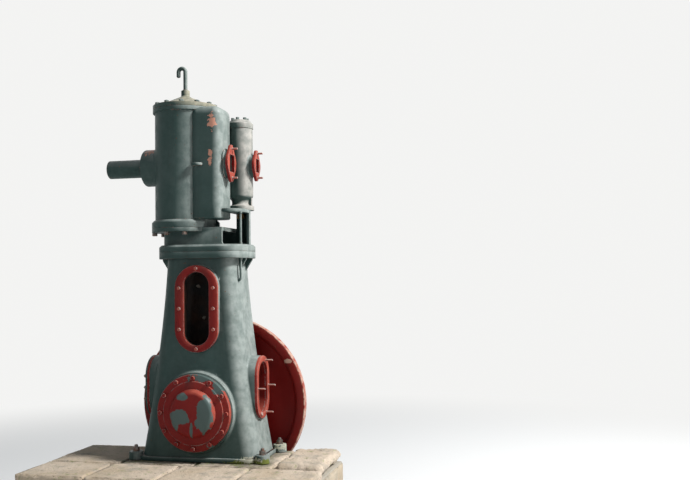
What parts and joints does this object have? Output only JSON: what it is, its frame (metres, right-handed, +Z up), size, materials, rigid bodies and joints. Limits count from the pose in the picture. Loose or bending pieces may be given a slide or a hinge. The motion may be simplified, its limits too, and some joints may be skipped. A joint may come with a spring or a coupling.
{
  "type": "vertical steam engine",
  "caption": "Enclosed upright steam engine: flared crankcase column with oval doors, overhead cylinder and valve chest, disc flywheel behind, on a low stone plinth.",
  "frame": {"origin": "on the ground under the middle of the crankshaft, in the plane of the plinth's underside", "axes": "+Z up; +Y along the crankshaft towards the flywheel; +X across, towards the valve chest; the round bearing cover faces -Y"},
  "size_m": [1.88, 1.14, 3.079],
  "materials": {
    "frame_paint": "weathered semi-gloss grey-green paint on cast iron",
    "red_paint": "faded semi-gloss red paint",
    "steel": "dull, weathered",
    "bronze": "machined",
    "stone": "rough weathered sandstone"
  },
  "bodies": {
    "engine": {"plinth_masonry": "stone", "plinth_flags": "stone", "plinth_corner_stone": "stone", "engine_frame": "frame_paint", "holding_down_bolts": "steel", "front_bearing_cover": "red_paint", "front_bearing_cap": "red_paint", "front_cover_bolts": "red_paint", "front_bush": "bronze", "rear_bearing_housing": "frame_paint", "rear_bush": "bronze", "front_door_frame": "red_paint", "front_door_studs": "red_paint", "side_door_frame": "red_paint", "side_door_studs": "red_paint", "left_door_frame": "red_paint", "left_door_plate": "frame_paint", "left_door_nuts": "steel", "distance_piece": "frame_paint", "cylinder_casting": "frame_paint", "cylinder_foot_nuts": "steel", "cylinder_cover": "frame_paint", "cylinder_cover_nuts": "steel", "lifting_hook": "steel", "steam_passage": "frame_paint", "valve_chest": "frame_paint", "valve_chest_cover": "frame_paint", "valve_chest_nuts": "steel", "valve_gland": "bronze", "valve_spindle": "steel", "steam_neck": "frame_paint", "steam_flange": "red_paint", "steam_flange_studs": "steel", "exhaust_neck": "frame_paint", "exhaust_flange": "red_paint", "exhaust_flange_studs": "steel", "left_collar": "frame_paint", "left_stub_pipe": "frame_paint", "drain_pipe": "frame_paint"},
    "rotor": {"crankshaft": "steel", "flywheel": "red_paint", "flywheel_key": "steel"}
  },
  "joints": [
    {"name": "crankshaft_turn", "type": "hinge", "parent": "engine", "child": "rotor", "pos_m": [0, 0, 0.74], "axis": [0, 1, 0], "continuous": true}
  ]
}
